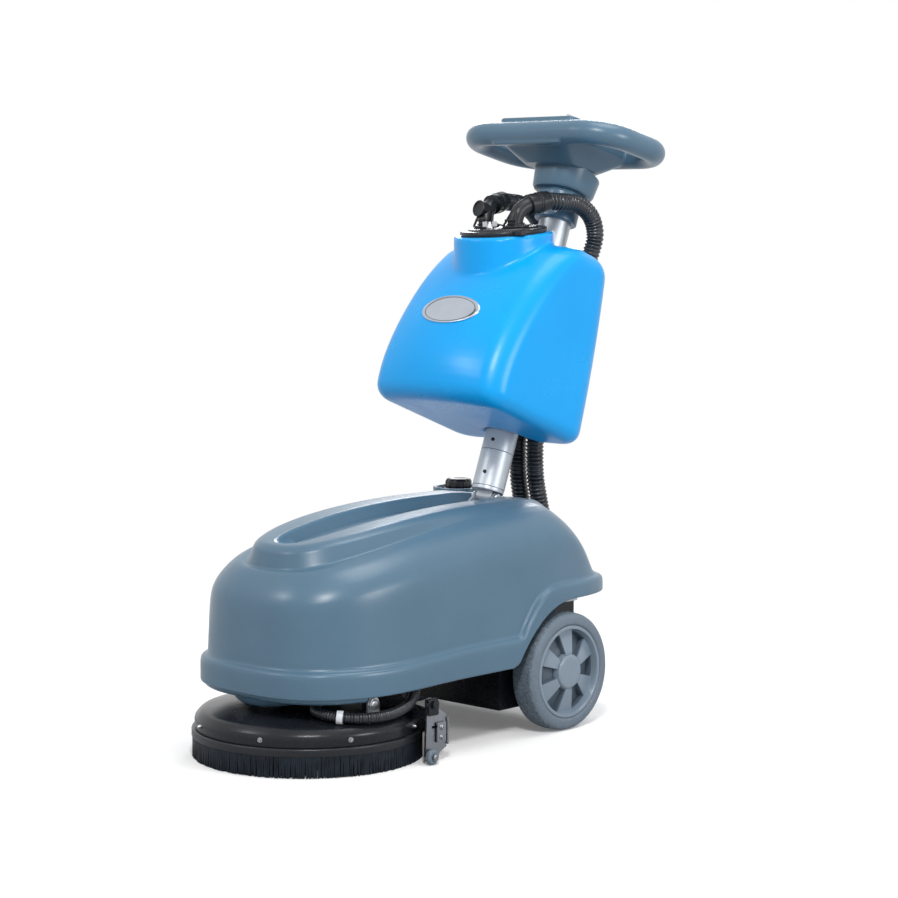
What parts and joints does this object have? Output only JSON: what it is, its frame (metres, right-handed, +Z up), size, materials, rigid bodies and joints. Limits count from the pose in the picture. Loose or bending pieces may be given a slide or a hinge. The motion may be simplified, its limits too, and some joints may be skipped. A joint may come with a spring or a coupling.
{
  "type": "walk-behind floor scrubber",
  "caption": "Compact walk-behind floor scrubber: disc brush deck, curved trailing squeegee, wheeled body with an inner water tank, folding mast with a lift-off recovery tank, and a ring handle",
  "frame": {"origin": "on the floor under the middle of the machine's bounding box", "axes": "+Z up, -Y the way the machine drives forward, +X the operator's left when walking behind it"},
  "size_m": [0.43, 0.9267, 1.0416],
  "materials": {
    "slate_plastic": "satin",
    "blue_plastic": "satin",
    "black_plastic": "satin",
    "black_painted_steel": "satin",
    "zinc_plated_steel": "satin",
    "satin_aluminium": "satin",
    "grey_rubber": "matte",
    "hub_plastic": "satin",
    "black_rubber": "matte",
    "clear_grey_rubber": "satin",
    "black_bristle": "matte",
    "white_plastic": "satin",
    "silver_plate": "satin"
  },
  "bodies": {
    "chassis": {"battery": "black_plastic", "body_cover": "slate_plastic", "chassis_frame": "black_painted_steel", "clean_water_tank": "white_plastic", "filler_neck": "slate_plastic", "front_pan": "slate_plastic", "hinge_base": "satin_aluminium", "hinge_pin": "zinc_plated_steel", "hose_inlet": "black_plastic", "left_pivot_pin": "zinc_plated_steel", "right_pivot_pin": "zinc_plated_steel", "motor_controller": "black_plastic", "vacuum_motor": "black_plastic", "wheel_axle": "zinc_plated_steel", "left_hose_lower": "black_plastic", "right_hose_lower": "black_plastic"},
    "deck": {"brush_deck": "black_painted_steel", "skirt_carrier": "black_plastic", "bristle_skirt": "black_bristle", "brush_motor": "black_plastic", "left_deck_ear": "zinc_plated_steel", "right_deck_ear": "zinc_plated_steel", "conduit_clip": "white_plastic", "power_conduit": "black_plastic"},
    "brush": {"drive_plate": "black_plastic", "scrub_brush": "black_bristle"},
    "squeegee": {"front_blade": "clear_grey_rubber", "rear_blade": "clear_grey_rubber", "squeegee_beam": "black_plastic", "left_squeegee_arm": "zinc_plated_steel", "right_squeegee_arm": "zinc_plated_steel"},
    "left_roller": {"left_guide_roller": "grey_rubber"},
    "right_roller": {"right_guide_roller": "grey_rubber"},
    "left_wheel": {"left_tyre": "grey_rubber", "left_wheel_hub": "hub_plastic", "left_hub_cap": "hub_plastic"},
    "right_wheel": {"right_tyre": "grey_rubber", "right_wheel_hub": "hub_plastic", "right_hub_cap": "hub_plastic"},
    "mast": {"mast_foot": "satin_aluminium", "lower_post": "satin_aluminium", "upper_post": "satin_aluminium", "tank_pad": "black_rubber", "hose_clip": "black_plastic", "handle_frame": "slate_plastic", "control_panel": "slate_plastic", "handle_socket": "slate_plastic", "socket_collar": "black_plastic", "left_hose_upper": "black_plastic", "right_hose_upper": "black_plastic"},
    "tank": {"recovery_tank": "blue_plastic", "tank_badge": "silver_plate"},
    "lid": {"tank_lid": "black_plastic", "lid_gasket": "black_rubber", "left_elbow": "black_plastic", "right_elbow": "black_plastic"},
    "cap": {"fill_cap": "black_plastic"},
    "brush_control": {"brush_button": "white_plastic"},
    "vacuum_control": {"vacuum_button": "white_plastic"},
    "key": {"key_switch": "zinc_plated_steel"}
  },
  "joints": [
    {"name": "left_wheel_spin", "type": "hinge", "parent": "chassis", "child": "left_wheel", "pos_m": [0.171, 0.1497, 0.1], "axis": [1, 0, 0], "continuous": true},
    {"name": "right_wheel_spin", "type": "hinge", "parent": "chassis", "child": "right_wheel", "pos_m": [-0.171, 0.1497, 0.1], "axis": [1, 0, 0], "continuous": true},
    {"name": "deck_rock", "type": "hinge", "parent": "chassis", "child": "deck", "pos_m": [0, -0.2753, 0.1], "axis": [1, 0, 0], "range_deg": [-2, 4], "deforming": ["power_conduit"]},
    {"name": "brush_spin", "type": "hinge", "parent": "deck", "child": "brush", "pos_m": [0, -0.2753, 0], "axis": [0, 0, 1], "continuous": true},
    {"name": "squeegee_lift", "type": "hinge", "parent": "deck", "child": "squeegee", "pos_m": [0, -0.1953, 0.095], "axis": [1, 0, 0], "range_deg": [0, 12]},
    {"name": "left_roller_spin", "type": "hinge", "parent": "squeegee", "child": "left_roller", "pos_m": [0.2051, -0.2003, 0.0125], "axis": [1, 0, 0], "continuous": true},
    {"name": "right_roller_spin", "type": "hinge", "parent": "squeegee", "child": "right_roller", "pos_m": [-0.2051, -0.2003, 0.0125], "axis": [1, 0, 0], "continuous": true},
    {"name": "mast_tilt", "type": "hinge", "parent": "chassis", "child": "mast", "pos_m": [0, 0.1517, 0.3815], "axis": [1, 0, 0], "range_deg": [0, 35], "deforming": ["left_hose_lower", "right_hose_lower"]},
    {"name": "tank_lift_off", "type": "slide", "parent": "mast", "child": "tank", "axis": [0, -0.9348, 0.3551], "range_m": [0, 0.1], "deforming": ["left_hose_upper", "right_hose_upper"]},
    {"name": "lid_lift", "type": "slide", "parent": "tank", "child": "lid", "axis": [0, -0.0872, 0.9962], "range_m": [0, 0.04]},
    {"name": "fill_cap_lift", "type": "slide", "parent": "chassis", "child": "cap", "axis": [0, 0, 1], "range_m": [0, 0.04]},
    {"name": "brush_button_press", "type": "slide", "parent": "mast", "child": "brush_control", "axis": [0, -0.225, -0.9744], "range_m": [0, 0.003], "stiffness_N_per_m": 400, "springref_m": -0.0005},
    {"name": "vacuum_button_press", "type": "slide", "parent": "mast", "child": "vacuum_control", "axis": [0, -0.225, -0.9744], "range_m": [0, 0.003], "stiffness_N_per_m": 400, "springref_m": -0.0005},
    {"name": "key_turn", "type": "hinge", "parent": "mast", "child": "key", "pos_m": [0.048, 0.3109, 1.0289], "axis": [0, 0.225, 0.9744], "range_deg": [0, 90]}
  ]
}
